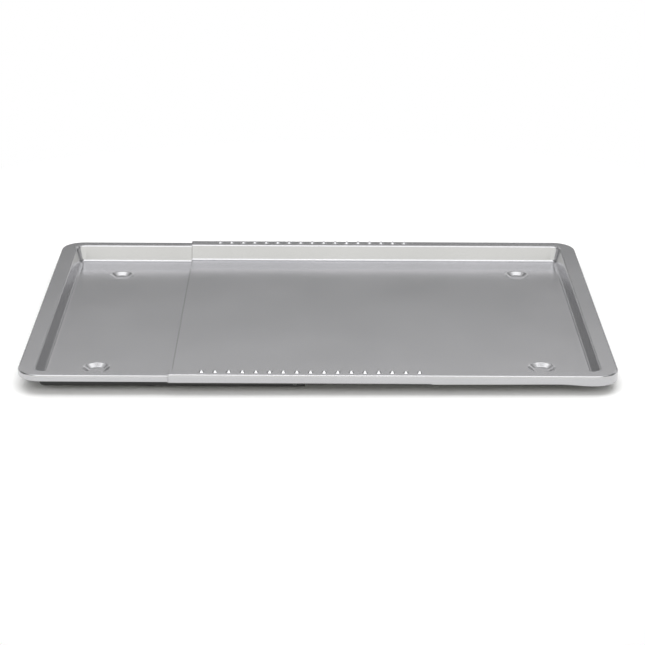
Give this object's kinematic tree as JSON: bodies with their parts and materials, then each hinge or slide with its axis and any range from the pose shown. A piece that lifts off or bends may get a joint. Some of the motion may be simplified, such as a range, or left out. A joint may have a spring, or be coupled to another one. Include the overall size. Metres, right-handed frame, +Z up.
{
  "type": "extendable cookie sheet",
  "caption": "Extendable baking tray of two pressed steel trays that slide one over the other, with catch bumps along the side rims and pressed feet.",
  "frame": {"origin": "middle of the base rectangle at the pose drawn, on the surface that the four feet stand on", "axes": "+X along the length, from the inner tray to the outer tray; +Y from front to back; +Z up"},
  "size_m": [0.468, 0.33, 0.0202],
  "materials": {
    "silver_coating": "satin silver-grey metallic non-stick coating on sheet steel"
  },
  "bodies": {
    "outer": {"outer_tray": "silver_coating"},
    "inner": {"inner_tray": "silver_coating"}
  },
  "joints": [
    {"name": "tray_slide", "type": "slide", "parent": "outer", "child": "inner", "axis": [-1, 0, 0.0054], "range_m": [-0.09495, 0.05275]}
  ]
}
